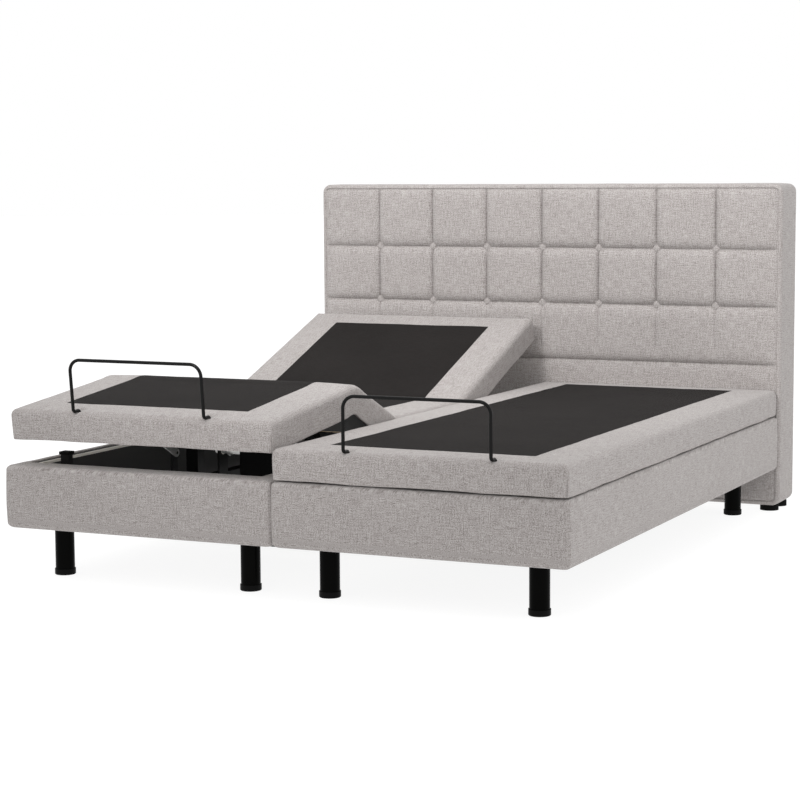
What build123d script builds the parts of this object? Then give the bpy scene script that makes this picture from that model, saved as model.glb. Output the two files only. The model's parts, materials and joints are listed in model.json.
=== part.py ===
"""Adjustable bed base: two independent motor bases under one padded headboard.

Frame: +Z up, +Y from the foot end to the headboard, +X to the right seen from the foot end.
The origin is on the floor at the centre of the footprint.  Millimetres.
The left base stands partly raised, the right base lies flat.
"""
from build123d import *
from dataclasses import dataclass
from math import cos, radians, sin, tan
import os

# ---------------------------------------------------------------- driving dimensions
BASE_WIDTH = 900          # one base, two make a 1800 x 2000 sleeping surface
BASE_LENGTH = 2100
HEADBOARD_DEPTH = 195
HEADBOARD_HALF_WIDTH = 907
HEADBOARD_TOP = 1163
HEADBOARD_BOTTOM = 20
BOX_BOTTOM = 150          # underside of the upholstered box, top of the leg plates
BOX_TOP = 339
DECK_BOTTOM = 343         # the hinge axes lie in this plane
DECK_HEIGHT = 92          # edge height of the padded deck
SIDE_GAP = 1              # between a box and the plane that parts the two bases

THIGH_LENGTH = 312
FOOT_LENGTH = 530
SEAT_LENGTH = 528
END_GAP = 3               # deck ends stand this far inside the box ends

BACK_TRAVEL = 60          # degrees from flat
THIGH_TRAVEL = 36
KNEE_RATIO = 1.25         # degrees of knee fold per degree of thigh lift
LINK_RATIO = 1.096        # degrees of foot link per degree of thigh lift
LEFT_BACK_TILT = 20       # pose that the left base stands in
LEFT_THIGH_TILT = 24

# ---------------------------------------------------------------- places worked out from them
FOOT_PLANE = -(BASE_LENGTH + HEADBOARD_DEPTH) / 2
HEADBOARD_FRONT = FOOT_PLANE + BASE_LENGTH
SEAT_FRONT = FOOT_PLANE + FOOT_LENGTH + THIGH_LENGTH
SEAT_BACK = SEAT_FRONT + SEAT_LENGTH
BACK_LENGTH = HEADBOARD_FRONT - SEAT_BACK - END_GAP

# upholstered box
PANEL = 34
FOOT_RAIL = 90
INNER_RAIL = 75
RAIL_ROUND = 8
LINER = 16
LEDGE = 9
LEDGE_HEIGHT = 7
LEDGE_TOP = BOX_TOP - 2

# padded deck
DECK_HALF = 444
SKIRT = 14
BOARD_UNDER = 30          # height of the board's underside over the deck's lower edge
BOARD = 18
FOLD_GAP = 2
PAD_ROUND = 18
PAD_UNDER = BOARD_UNDER + BOARD

# steel frame
TUBE = 40
POST = 44
POST_X = 321
TUBE_WALL = 3
REST_POST = 26            # slimmer posts that carry the deck at its ends
REST_PAD_SIZE = 33
LEG_PLATE = 12
LEG_PLATE_HALF = (45, 30)
LINK_BAR_X = (-180, 245)  # the bar under both boxes that links the bases
FRAME_TOP = BOX_BOTTOM + TUBE
FOOT_POST_Y = FOOT_PLANE + 135
HEAD_POST_Y = FOOT_PLANE + 1985
SEAT_POST_FRONT = SEAT_FRONT + 48
SEAT_POST_BACK = SEAT_BACK - 50
REST_PAD = 9
ANGLE_LEGS = (70, 60)     # angle plates that hold the headboard
ANGLE = 6
ANGLE_HALF_WIDTH = 30
LEG_Y = (FOOT_PLANE + 115, FOOT_PLANE + 1985)

# hinges and irons
IRON_X = 165
IRON_WIDTH = 20
IRON_HEIGHT = 30
BACK_IRON = 520
FOOT_IRON = 330
PIN = 6
RUNNING = 0.05            # radial clearance of a pin in its eye
EYE = 13
BRACKET_X = 180.5
BRACKET = 8
KNEE_IRON_X = 186.5

# torsion tubes, arms and shoes
TORSION_R = 15
TORSION_HALF = 200
BUSH = 3
ARM_X = 150
ARM = 8
SHOE_R = 16
SHOE_CLEARANCE = 0.5
TUBE_DROP = 40            # torsion tube axis under the hinge axis
BACK_TUBE_OFFSET = 23
LEG_TUBE_OFFSET = 13
BACK_ARM = 237
LEG_ARM = 200
LEVER = 60
LEVER_R = 10

# foot link
LUG_REACH = 200
LUG_DROP = 11
LINK_PIVOT = (FOOT_PLANE + 571.9, 320)
LINK_PIN = 5
LINK_PLATE = 6
LINK_X = 201
LINK_SLACK = 2            # the upper eye is the open pivot of the linkage
LINK_BRACKET_X = 210

# twin drive
HOUSING_HALF = 95
HOUSING_END = 52
HOUSING_BOTTOM = 213
HOUSING_TOP = 330
WALL = 4
SPINDLE_R = 6
SPINDLE_Z = 237
SLIDER_LENGTH = 90
SLIDER_HALF = 20
SLIDER_TOP = 250
SLIDER_GAP = 2
SLIDER_BORE_DEPTH = 80
HOUSING_ROUND = 20
GEARBOX = 50
GEARBOX_WIDTH = 132
GEARBOX_HEIGHT = 85
BACK_GEARBOX = FOOT_PLANE + 1150
LEG_GEARBOX = FOOT_PLANE + 1060
MOTOR_R = 28
MOTOR_LENGTH = 86
MOTOR_SIDE = 35
MOTOR_Z = 275
SPINDLE_ENDS = (-23, 47)  # from where each lever stands at flat, back and leg

# retainer bar
BAR_R = 5
BAR_HALF = 222
BAR_HEIGHT = 156
BAR_CORNER = 35
BAR_HOOK = 10
BAR_SINK = 6             # how far the hook is let into the deck's edge
BAR_SOCKET = 30
BAR_INSET = 6
BAR_FOOT = 32
NOTCH = BAR_INSET + BAR_FOOT + BAR_R + 1  # length of the groove in the deck that takes the hook

# locating tab under the foot section
TAB_X = 329
TAB_Y = 92
TAB = (5, 48)
TAB_MIDDLE = 4
TAB_HALF = 38

# legs and glides
LEG_R = 29
LEG_CAP_R = 31.5
LEG_CAP = 18
GLIDE_R = 33
GLIDE_X = (-862, -300, 300, 862)
GLIDE_Y = (40, 150)         # back from the headboard's face

# headboard
HEADBOARD_PAD = 60
HEADBOARD_CORNER = 30
HEADBOARD_RAIL = 35       # hollow frame: rails round the edge and a thin back
HEADBOARD_BACK = 12
BUTTON_R = 13.5
BUTTON_PITCH = 221.5
BUTTON_ROWS = (727, 931)
BUTTON_POCKET_R = 21
BUTTON_POCKET = 18
BUTTON_DEPTH = 12

os.makedirs("parts", exist_ok=True)


@dataclass
class Section:
    """A deck section: its hinge, its tilt and how far it reaches along the bed."""

    name: str
    pivot: tuple            # y, z of the hinge axis
    tilt: float             # degrees, positive lifts the headboard end
    start: float            # foot end, from the hinge
    end: float              # head end, from the hinge
    start_bevel: float      # half of the fold angle that the end has to make room for
    end_bevel: float
    free: float             # -1 free at the foot end, +1 free at the head end, 0 joined at both


@dataclass
class Base:
    name: str
    x: float                # centre of the base
    out: float              # +1 or -1, towards the outer side of the bed
    back: float             # tilt of the back section
    thigh: float            # tilt of the thigh section

    def sections(self):
        """Seat, back, thigh and foot sections in this base's pose."""
        lift = radians(self.thigh)
        knee = (SEAT_FRONT - THIGH_LENGTH * cos(lift), DECK_BOTTOM + THIGH_LENGTH * sin(lift))
        foot_tilt = (KNEE_RATIO - 1) * self.thigh
        front, rear = (SEAT_FRONT, DECK_BOTTOM), (SEAT_BACK, DECK_BOTTOM)
        thigh_fold, back_fold = THIGH_TRAVEL / 2, BACK_TRAVEL / 2
        return {
            "seat": Section("seat", front, 0, 0, SEAT_LENGTH, thigh_fold, back_fold, 0),
            "back": Section("back", rear, self.back, 0, BACK_LENGTH, back_fold, 0, 1),
            "thigh": Section("thigh", front, -self.thigh, -THIGH_LENGTH, 0, 0, thigh_fold, 0),
            "foot": Section("foot", knee, foot_tilt, END_GAP - FOOT_LENGTH, 0, 0, 0, -1),
        }


LEFT = Base("left", -BASE_WIDTH / 2, -1, LEFT_BACK_TILT, LEFT_THIGH_TILT)
RIGHT = Base("right", BASE_WIDTH / 2, 1, 0, 0)
BASES = (LEFT, RIGHT)


def side(pivot, tilt, x):
    """Sketch plane across the bed at x, its first axis along a section tilted about pivot."""
    turn = radians(tilt)
    return Plane(origin=(x, pivot[0], pivot[1]), x_dir=(0, cos(turn), sin(turn)), z_dir=(1, 0, 0))


def upright(x):
    """Sketch plane across the bed at x, in the frame's own Y and Z."""
    return side((0, 0), 0, x)


def write(piece, label):
    piece.part.label = label
    export_step(piece.part, f"parts/{label}.step")


def ends(section, height):
    """Y of a section's two cut ends at a height over the deck's lower edge."""
    start = section.start + height * tan(radians(section.start_bevel))
    end = section.end - height * tan(radians(section.end_bevel))
    start_gap = 0 if section.free < 0 else FOLD_GAP
    end_gap = 0 if section.free > 0 else FOLD_GAP
    return start + start_gap, end - end_gap


def layer_profile(section, low, high, trim=0):
    """Side outline of a layer of the deck between two heights; trim shortens the free end."""
    low_start, low_end = ends(section, low)
    high_start, high_end = ends(section, high)
    if section.free < 0:
        low_start, high_start = low_start + trim, high_start + trim
    if section.free > 0:
        low_end, high_end = low_end - trim, high_end - trim
    Polyline((low_start, low), (low_end, low), (high_end, high), (high_start, high), close=True)


# ---------------------------------------------------------------- deck
def section_board(base, section):
    with BuildPart() as board:
        with BuildSketch(side(section.pivot, section.tilt, base.x)):
            with BuildLine():
                layer_profile(section, BOARD_UNDER, PAD_UNDER, SKIRT)
            make_face()
        extrude(amount=DECK_HALF - SKIRT, both=True)
    return board


def section_pad(base, section):
    """Foam top with rounded outer edges, and the foam strips that wrap the board's edges."""
    with BuildPart() as top:
        with BuildSketch(side(section.pivot, section.tilt, base.x)):
            with BuildLine():
                layer_profile(section, PAD_UNDER, DECK_HEIGHT)
            make_face()
        extrude(amount=DECK_HALF, both=True)
        long_edges = top.edges().filter_by(Axis.X, reverse=True).group_by(Axis.X)
        sides = (long_edges[0], long_edges[-1])
        rims = [group.sort_by(Edge.length)[-2:].sort_by(Axis.Z)[-1] for group in sides]
        fillet(rims, radius=PAD_ROUND)
        if section.name == "foot":
            hook_y = section.start + BAR_INSET + BAR_FOOT
            for x in (-BAR_HALF, BAR_HALF):
                with BuildSketch(hook_plane(base, section, hook_y, x)):
                    Circle(BAR_R + 1)
                extrude(amount=-BAR_SOCKET, mode=Mode.SUBTRACT)
            with BuildSketch(hook_plane(base, section, section.start, 0)):
                with Locations((-BAR_HALF, NOTCH / 2), (BAR_HALF, NOTCH / 2)):
                    Rectangle(2 * (BAR_R + 1), NOTCH)
            extrude(amount=-BAR_SINK - 1, mode=Mode.SUBTRACT)
    pieces = [top]
    with BuildPart() as side_strips:
        for x in (-1, 1):
            at = base.x + x * (DECK_HALF - SKIRT / 2)
            with BuildSketch(side(section.pivot, section.tilt, at)):
                with BuildLine():
                    layer_profile(section, 0, PAD_UNDER)
                make_face()
            extrude(amount=SKIRT / 2, both=True)
    pieces.append(side_strips)
    if section.free:
        edge = section.start if section.free < 0 else section.end
        with BuildPart() as end_strip:
            with BuildSketch(side(section.pivot, section.tilt, base.x)):
                with Locations((edge - section.free * SKIRT / 2, PAD_UNDER / 2)):
                    Rectangle(SKIRT, PAD_UNDER)
            extrude(amount=DECK_HALF - SKIRT, both=True)
        pieces.append(end_strip)
    return pieces


def hook_plane(base, section, along, across):
    """Sketch plane on a section's top face."""
    turn = radians(section.tilt)
    origin = (
        base.x + across,
        section.pivot[0] + along * cos(turn) - DECK_HEIGHT * sin(turn),
        section.pivot[1] + along * sin(turn) + DECK_HEIGHT * cos(turn),
    )
    return Plane(origin=origin, x_dir=(1, 0, 0), z_dir=(0, -sin(turn), cos(turn)))


def locating_tab(base, section):
    """Tab under the foot section's inner corner, which drops in behind the foot rail."""
    with BuildPart() as tab:
        with BuildSketch(side(section.pivot, section.tilt, base.x - base.out * TAB_X)):
            with Locations((section.start + TAB_Y, TAB_MIDDLE)):
                Rectangle(*TAB)
        extrude(amount=TAB_HALF, both=True)
    return tab


def solids_of(*pieces):
    return [solid for piece in pieces for solid in piece.part.solids()]


def write_group(solids, label):
    group = Compound(children=solids)
    group.label = label
    export_step(group, f"parts/{label}.step")


# ---------------------------------------------------------------- irons, hinges and lifting gear
def section_iron(section, x, reach, bar, eyes, lug=None, pin=None):
    """Bar on edge under a board, with an eye at its hinge; reach is signed.

    A lug is a round ear at a spot on the bar, and a pin is (far x, radius, spot).
    """

    def across(at):
        return side(section.pivot, section.tilt, at)

    sign = 1 if reach > 0 else -1
    with BuildPart() as iron:
        with BuildSketch(across(x)):
            with BuildLine():
                Polyline(
                    (0, 0),
                    (bar[0] * sign, IRON_HEIGHT),
                    (reach - bar[1] * sign, IRON_HEIGHT),
                    (reach, 0),
                    close=True,
                )
            make_face()
            with Locations(*[(at, 0) for at in eyes]):
                Circle(EYE)
            if lug:
                with Locations(lug):
                    Circle(EYE + 1)
        extrude(amount=IRON_WIDTH / 2, both=True)
        with BuildSketch(across(x)):
            Circle(PIN + RUNNING)
        extrude(amount=IRON_WIDTH, both=True, mode=Mode.SUBTRACT)
        if pin:
            far, radius, spot = pin
            with BuildSketch(across(x)):
                with Locations(spot):
                    Circle(radius)
            extrude(amount=far - x)
    return iron


def lifting_arm(pivot, tilt, x, tip):
    """Flat arm welded round the torsion tube, reaching to the shoe."""
    plane = side(pivot, tilt, x)
    with BuildPart() as arm:
        with BuildSketch(plane):
            Circle(TORSION_R + 6)
            with Locations(tip):
                Circle(SHOE_R - 5)
            make_hull()
            Circle(TORSION_R, mode=Mode.SUBTRACT)
        extrude(amount=ARM / 2, both=True)
    return arm


def drive_lever(pivot, tilt, x, tip):
    """Lever on the torsion tube that the drive's slider pushes."""
    with BuildPart() as lever:
        with BuildSketch(side(pivot, tilt, x)):
            Circle(TORSION_R + 6)
            with BuildLine():
                Line((0, 0), tip)
            trace(line_width=2 * LEVER_R - 2)
            with Locations(tip):
                Circle(LEVER_R)
            Circle(TORSION_R, mode=Mode.SUBTRACT)
        extrude(amount=8, both=True)
    return lever


def torsion_tube(pivot, x):
    with BuildPart() as tube:
        with BuildSketch(side(pivot, 0, x)):
            Circle(TORSION_R)
            Circle(TORSION_R - 3, mode=Mode.SUBTRACT)
        extrude(amount=TORSION_HALF, both=True)
    return tube


def shoe(pivot, tilt, x, sign, tip):
    """Nylon shoe on the arm's end, running under the section's iron."""
    near = x + sign * (ARM_X + ARM / 2)
    with BuildPart() as glide:
        with BuildSketch(side(pivot, tilt, near)):
            with Locations(tip):
                Circle(SHOE_R)
        extrude(amount=sign * IRON_WIDTH)
    return glide


def arm_tip(length, reach):
    """Shoe centre from the tube axis at flat, so that the shoe just clears the iron."""
    rise = TUBE_DROP - SHOE_R - SHOE_CLEARANCE
    return (reach * (length**2 - rise**2) ** 0.5, rise)


def lift(base, name, hinge_y, offset, reach, length, tilt, travel):
    """Torsion tube with two arms and a lever, and the two shoes."""
    pivot = (hinge_y + offset, DECK_BOTTOM - TUBE_DROP)
    tip = arm_tip(length, reach)
    start = radians(travel / 2)
    lever_tip = (-reach * LEVER * sin(start), -LEVER * cos(start))
    arms = [lifting_arm(pivot, tilt, base.x + sign * ARM_X, tip) for sign in (-1, 1)]
    lever = drive_lever(pivot, tilt, base.x, lever_tip)
    write_group(solids_of(torsion_tube(pivot, base.x), *arms, lever), f"{name}_lift_{base.name}")
    shoes = [shoe(pivot, tilt, base.x, sign, tip) for sign in (-1, 1)]
    write_group(solids_of(*shoes), f"{name}_lift_shoes_{base.name}")
    return pivot


def slider(base, name, pivot, reach, raised, travel):
    """Push block on the spindle; its blind bore takes the spindle's end."""
    stroke = 2 * LEVER * sin(radians(travel / 2))
    flat_tip = pivot[0] - reach * stroke / 2
    face = flat_tip - reach * (LEVER_R + SLIDER_GAP) + reach * stroke * raised / travel
    low = HOUSING_BOTTOM + WALL + 0.5
    rear = face - reach * SLIDER_LENGTH
    with BuildPart() as block:
        with BuildSketch(upright(base.x)):
            with Locations(((face + rear) / 2, (low + SLIDER_TOP) / 2)):
                Rectangle(SLIDER_LENGTH, SLIDER_TOP - low)
        extrude(amount=SLIDER_HALF, both=True)
        with BuildSketch(Plane(origin=(base.x, rear, SPINDLE_Z), x_dir=(1, 0, 0), z_dir=(0, reach, 0))):
            Circle(SPINDLE_R + 0.3)
        extrude(amount=SLIDER_BORE_DEPTH, mode=Mode.SUBTRACT)
    write(block, f"{name}_slider_{base.name}")


def hinge_bracket(base, sign, hinge, tube):
    """Plate that carries a hinge pin above and the torsion tube's bush below."""
    x = base.x + sign * BRACKET_X
    plane = upright(x)
    with BuildPart() as bracket:
        with BuildSketch(plane):
            with Locations(hinge):
                Circle(EYE)
            with Locations(tube):
                Circle(TORSION_R + BUSH + 9)
            with Locations((tube[0], FRAME_TOP + 5)):
                Rectangle(54, 10)
            make_hull()
            with Locations(tube):
                Circle(TORSION_R + BUSH, mode=Mode.SUBTRACT)
        extrude(amount=BRACKET / 2, both=True)
        with BuildSketch(plane):
            with Locations(hinge):
                Circle(PIN)
        extrude(amount=-sign * (BRACKET_X - IRON_X + IRON_WIDTH / 2 + 1.5))
    return bracket


def bush(x, tube):
    with BuildPart() as ring:
        with BuildSketch(upright(x)):
            with Locations(tube):
                Circle(TORSION_R + BUSH)
                Circle(TORSION_R + RUNNING, mode=Mode.SUBTRACT)
        extrude(amount=BRACKET / 2, both=True)
    return ring


def link_bracket(base, sign):
    x = base.x + sign * LINK_BRACKET_X
    with BuildPart() as bracket:
        with BuildSketch(upright(x)):
            with Locations(LINK_PIVOT):
                Circle(EYE)
            with Locations((LINK_PIVOT[0], FRAME_TOP + 5)):
                Rectangle(TUBE, 10)
            make_hull()
        extrude(amount=BRACKET / 2, both=True)
        with BuildSketch(upright(x)):
            with Locations(LINK_PIVOT):
                Circle(LINK_PIN)
        extrude(amount=-sign * (BRACKET / 2 + LINK_PLATE + 2.5))
    return bracket


def foot_link(base, sign):
    """Flat link from the frame to the foot section, which keeps that section nearly level."""
    tip = (SEAT_FRONT - THIGH_LENGTH - LUG_REACH - LINK_PIVOT[0], DECK_BOTTOM - LUG_DROP - LINK_PIVOT[1])
    with BuildPart() as link:
        with BuildSketch(side(LINK_PIVOT, -LINK_RATIO * base.thigh, base.x + sign * LINK_X)):
            Circle(EYE)
            with Locations(tip):
                Circle(EYE)
            make_hull()
            Circle(LINK_PIN + RUNNING, mode=Mode.SUBTRACT)
            with Locations(tip):
                Circle(LINK_PIN + LINK_SLACK, mode=Mode.SUBTRACT)
        extrude(amount=LINK_PLATE / 2, both=True)
    return link


def back_irons(base, section):
    return [section_iron(section, base.x + sign * IRON_X, BACK_IRON, (20, 0), (0,)) for sign in (-1, 1)]


def thigh_irons(base, section):
    """Irons with the seat hinge's eye at one end and the knee pin at the other."""
    irons = []
    for sign in (-1, 1):
        pin_end = base.x + sign * (KNEE_IRON_X + IRON_WIDTH / 2 + 1)
        knee_pin = (pin_end, PIN, (-THIGH_LENGTH, 0))
        eyes = (0, -THIGH_LENGTH)
        middle = base.x + sign * IRON_X
        irons.append(section_iron(section, middle, -THIGH_LENGTH, (20, 14), eyes, pin=knee_pin))
    return irons


def foot_irons(base, section):
    """Irons that hang on the knee pin, each with a lug and pin for the foot link."""
    irons = []
    lug = (-LUG_REACH, -LUG_DROP)
    for sign in (-1, 1):
        link_pin = (base.x + sign * (LINK_X + LINK_PLATE / 2 + 1), LINK_PIN, lug)
        middle = base.x + sign * KNEE_IRON_X
        irons.append(section_iron(section, middle, -FOOT_IRON, (14, 0), (0,), lug, link_pin))
    return irons


def retainer_bar(base, section):
    """Round bar that stops the mattress at the foot end; its hooked feet drop into the deck."""
    turn = radians(section.tilt)

    def place(x, along, height):
        return (
            base.x + x,
            section.pivot[0] + along * cos(turn) - height * sin(turn),
            section.pivot[1] + along * sin(turn) + height * cos(turn),
        )

    front = section.start + BAR_INSET
    rear = front + BAR_FOOT
    stub = DECK_HEIGHT + BAR_R - BAR_SINK
    half = [
        (rear, DECK_HEIGHT - BAR_SOCKET + BAR_R),
        (rear, stub),
        (front, stub),
        (front, DECK_HEIGHT + BAR_HEIGHT),
    ]
    points = [place(-BAR_HALF, *spot) for spot in half] + [place(BAR_HALF, *spot) for spot in half[::-1]]
    radii = [BAR_HOOK, BAR_HOOK, BAR_CORNER, BAR_CORNER, BAR_HOOK, BAR_HOOK]
    with BuildPart() as bar:
        with BuildLine() as path:
            FilletPolyline(*points, radius=radii)
        with BuildSketch(Plane(origin=points[0], z_dir=(0, -sin(turn), cos(turn)))):
            Circle(BAR_R)
        sweep(path=path.line)
    write(bar, f"retainer_bar_{base.name}")


for base in BASES:
    sections = base.sections()
    for section in sections.values():
        board = section_board(base, section)
        pieces = section_pad(base, section)
        if section.name == "foot":
            pieces.append(locating_tab(base, section))
        write(board, f"{section.name}_board_{base.name}")
        write_group(solids_of(*pieces), f"{section.name}_pad_{base.name}")
    write_group(solids_of(*back_irons(base, sections["back"])), f"back_irons_{base.name}")
    write_group(solids_of(*thigh_irons(base, sections["thigh"])), f"thigh_irons_{base.name}")
    write_group(solids_of(*foot_irons(base, sections["foot"])), f"foot_irons_{base.name}")
    write_group(solids_of(*[foot_link(base, sign) for sign in (-1, 1)]), f"foot_links_{base.name}")
    retainer_bar(base, sections["foot"])
    back_tube = lift(base, "back", SEAT_BACK, BACK_TUBE_OFFSET, 1, BACK_ARM, base.back, BACK_TRAVEL)
    leg_tube = lift(base, "leg", SEAT_FRONT, -LEG_TUBE_OFFSET, -1, LEG_ARM, -base.thigh, THIGH_TRAVEL)
    slider(base, "back", back_tube, 1, base.back, BACK_TRAVEL)
    slider(base, "leg", leg_tube, -1, base.thigh, THIGH_TRAVEL)


# ---------------------------------------------------------------- hinge brackets, bushes
HINGES = (
    ((SEAT_BACK, DECK_BOTTOM), (SEAT_BACK + BACK_TUBE_OFFSET, DECK_BOTTOM - TUBE_DROP)),
    ((SEAT_FRONT, DECK_BOTTOM), (SEAT_FRONT - LEG_TUBE_OFFSET, DECK_BOTTOM - TUBE_DROP)),
)
brackets, bushes = [], []
for base in BASES:
    for sign in (-1, 1):
        for hinge, tube in HINGES:
            brackets.append(hinge_bracket(base, sign, hinge, tube))
            bushes.append(bush(base.x + sign * BRACKET_X, tube))
        brackets.append(link_bracket(base, sign))
write_group(solids_of(*brackets), "hinge_brackets")
write_group(solids_of(*bushes), "tube_bushes")


# ---------------------------------------------------------------- steel frame
def block(low, high):
    """Closed box between two corners."""
    with BuildPart() as piece:
        with BuildSketch(Plane.XY.offset(low[2])):
            with Locations(((low[0] + high[0]) / 2, (low[1] + high[1]) / 2)):
                Rectangle(high[0] - low[0], high[1] - low[1])
        extrude(amount=high[2] - low[2])
    return piece


def square_tube(low, high, along):
    """Square tube between two corners, open at both ends along one axis."""
    size = [high[i] - low[i] for i in range(3)]
    middle = [(high[i] + low[i]) / 2 for i in range(3)]
    plane = {
        "x": Plane(origin=(low[0], middle[1], middle[2]), x_dir=(0, 1, 0), z_dir=(1, 0, 0)),
        "y": Plane(origin=(middle[0], low[1], middle[2]), x_dir=(1, 0, 0), z_dir=(0, 1, 0)),
        "z": Plane(origin=(middle[0], middle[1], low[2]), x_dir=(1, 0, 0), z_dir=(0, 0, 1)),
    }[along]
    wide, tall = {"x": (size[1], size[2]), "y": (size[0], size[2]), "z": (size[0], size[1])}[along]
    with BuildPart() as tube:
        with BuildSketch(plane):
            Rectangle(wide, tall)
            Rectangle(wide - 2 * TUBE_WALL, tall - 2 * TUBE_WALL, mode=Mode.SUBTRACT)
        extrude(amount=size["xyz".index(along)])
    return tube


CROSS_TUBES = (
    FOOT_PLANE + 115,
    LINK_PIVOT[0],
    SEAT_FRONT - LEG_TUBE_OFFSET,
    SEAT_BACK + BACK_TUBE_OFFSET,
    FOOT_PLANE + 2030,
)
SEAT_POSTS = (SEAT_POST_FRONT, SEAT_POST_BACK)
REST_POSTS = (FOOT_POST_Y, HEAD_POST_Y)
BOARD_Z = DECK_BOTTOM + BOARD_UNDER
REST_TOP = BOARD_Z - 1

tubes, posts, rest_pads, legs, leg_caps = [], [], [], [], []
for base in BASES:
    for sign in (-1, 1):
        x = base.x + sign * POST_X
        tube_y = (FOOT_PLANE + FOOT_RAIL + 5, HEADBOARD_FRONT - PANEL - 8)
        low, high = (x - POST / 2, tube_y[0], BOX_BOTTOM), (x + POST / 2, tube_y[1], FRAME_TOP)
        tubes.append(square_tube(low, high, "y"))
        for y in SEAT_POSTS:
            low, high = (x - POST / 2, y - POST / 2, FRAME_TOP), (x + POST / 2, y + POST / 2, BOARD_Z)
            posts.append(square_tube(low, high, "z"))
        for y in REST_POSTS:
            if y == FOOT_POST_Y and sign != base.out:
                continue                    # the locating tab takes this corner
            half, pad = REST_POST / 2, REST_PAD_SIZE / 2
            top_z = REST_TOP - REST_PAD
            posts.append(square_tube((x - half, y - half, FRAME_TOP), (x + half, y + half, top_z), "z"))
            rest_pads.append(block((x - pad, y - pad, top_z), (x + pad, y + pad, REST_TOP)))
        for y in LEG_Y:
            linked = y == LEG_Y[0] and sign != base.out
            if not linked:
                wide, long = LEG_PLATE_HALF
                low = (x - wide, y - long, BOX_BOTTOM - LEG_PLATE)
                tubes.append(block(low, (x + wide, y + long, BOX_BOTTOM)))
            with BuildPart() as leg:
                with BuildSketch(Plane.XY.offset(LEG_CAP)):
                    with Locations((x, y)):
                        Circle(LEG_R)
                extrude(amount=BOX_BOTTOM - LEG_PLATE - LEG_CAP)
            with BuildPart() as cap:
                with BuildSketch(Plane.XY):
                    with Locations((x, y)):
                        Circle(LEG_CAP_R)
                extrude(amount=LEG_CAP)
                chamfer(cap.edges().group_by(Axis.Z)[0], length=2)
            legs.append(leg)
            leg_caps.append(cap)
    inner = POST_X - POST / 2
    for y in CROSS_TUBES:
        low = (base.x - inner, y - TUBE / 2, BOX_BOTTOM)
        tubes.append(square_tube(low, (base.x + inner, y + TUBE / 2, FRAME_TOP), "x"))
write_group(solids_of(*tubes), "frame_tubes")
write_group(solids_of(*posts), "frame_posts")
write_group(solids_of(*rest_pads), "rest_pads")
write_group(solids_of(*legs), "legs")
write_group(solids_of(*leg_caps), "leg_caps")

# ---------------------------------------------------------------- linking bar and headboard plates
link_low = (LINK_BAR_X[0], LEG_Y[0] - LEG_PLATE_HALF[1], BOX_BOTTOM - LEG_PLATE)
link_high = (LINK_BAR_X[1], LEG_Y[0] + LEG_PLATE_HALF[1], BOX_BOTTOM)
plates = [block(link_low, link_high)]
for base in BASES:
    flat, upright_leg = ANGLE_LEGS
    with BuildPart() as angle:
        with BuildSketch(side((HEADBOARD_FRONT, BOX_BOTTOM - ANGLE), 0, base.x)):
            with BuildLine():
                Polyline(
                    (-flat, 0), (-ANGLE, 0), (-ANGLE, -upright_leg),
                    (0, -upright_leg), (0, ANGLE), (-flat, ANGLE), close=True,
                )
            make_face()
        extrude(amount=ANGLE_HALF_WIDTH, both=True)
    plates.append(angle)
write_group(solids_of(*plates), "joining_plates")

# ---------------------------------------------------------------- upholstered boxes
inner_rails, head_rails, liners, ledges = [], [], [], []
HALF = BASE_WIDTH / 2
side_y = (FOOT_PLANE + FOOT_RAIL, HEADBOARD_FRONT - PANEL - 1)
for base in BASES:
    low_x, high_x = base.x - HALF, base.x + HALF
    if base.out < 0:
        high_x -= SIDE_GAP
        outer = (low_x, low_x + PANEL)
        inner_rail = (high_x - INNER_RAIL, high_x)
        liner = (outer[1], outer[1] + LINER)
        ledge = (liner[1], liner[1] + LEDGE)
    else:
        low_x += SIDE_GAP
        outer = (high_x - PANEL, high_x)
        inner_rail = (low_x, low_x + INNER_RAIL)
        liner = (outer[0] - LINER, outer[0])
        ledge = (liner[0] - LEDGE, liner[0])
    with BuildPart() as foot_rail:
        with BuildSketch(Plane.XY.offset(BOX_BOTTOM)):
            with Locations(((low_x + high_x) / 2, FOOT_PLANE + FOOT_RAIL / 2)):
                Rectangle(high_x - low_x, FOOT_RAIL)
        extrude(amount=BOX_TOP - BOX_BOTTOM)
        fillet(foot_rail.edges().filter_by(Axis.X).group_by(Axis.Y)[0], radius=RAIL_ROUND)
    write(foot_rail, f"foot_rail_{base.name}")
    with BuildPart() as outer_rail:
        with BuildSketch(Plane.XY.offset(BOX_BOTTOM)):
            with Locations((sum(outer) / 2, sum(side_y) / 2)):
                Rectangle(PANEL, side_y[1] - side_y[0])
        extrude(amount=BOX_TOP - BOX_BOTTOM)
        along_edges = outer_rail.edges().filter_by(Axis.Y).sort_by(Axis.X)
        fillet(along_edges[:2] if base.out < 0 else along_edges[-2:], radius=RAIL_ROUND)
    write(outer_rail, f"outer_rail_{base.name}")
    inner_rails.append(block((inner_rail[0], side_y[0], BOX_BOTTOM), (inner_rail[1], side_y[1], BOX_TOP)))
    head_low = (low_x, HEADBOARD_FRONT - PANEL - 1, BOX_BOTTOM)
    head_rails.append(block(head_low, (high_x, HEADBOARD_FRONT - 1, BOX_TOP)))
    liners.append(block((liner[0], side_y[0], BOX_BOTTOM), (liner[1], side_y[1], LEDGE_TOP)))
    ledge_low = (ledge[0], side_y[0], LEDGE_TOP - LEDGE_HEIGHT)
    ledges.append(block(ledge_low, (ledge[1], side_y[1], LEDGE_TOP)))
write_group(solids_of(*inner_rails), "inner_rails")
write_group(solids_of(*head_rails), "head_rails")
write_group(solids_of(*liners), "rail_liners")
write_group(solids_of(*ledges), "ledge_battens")

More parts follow.
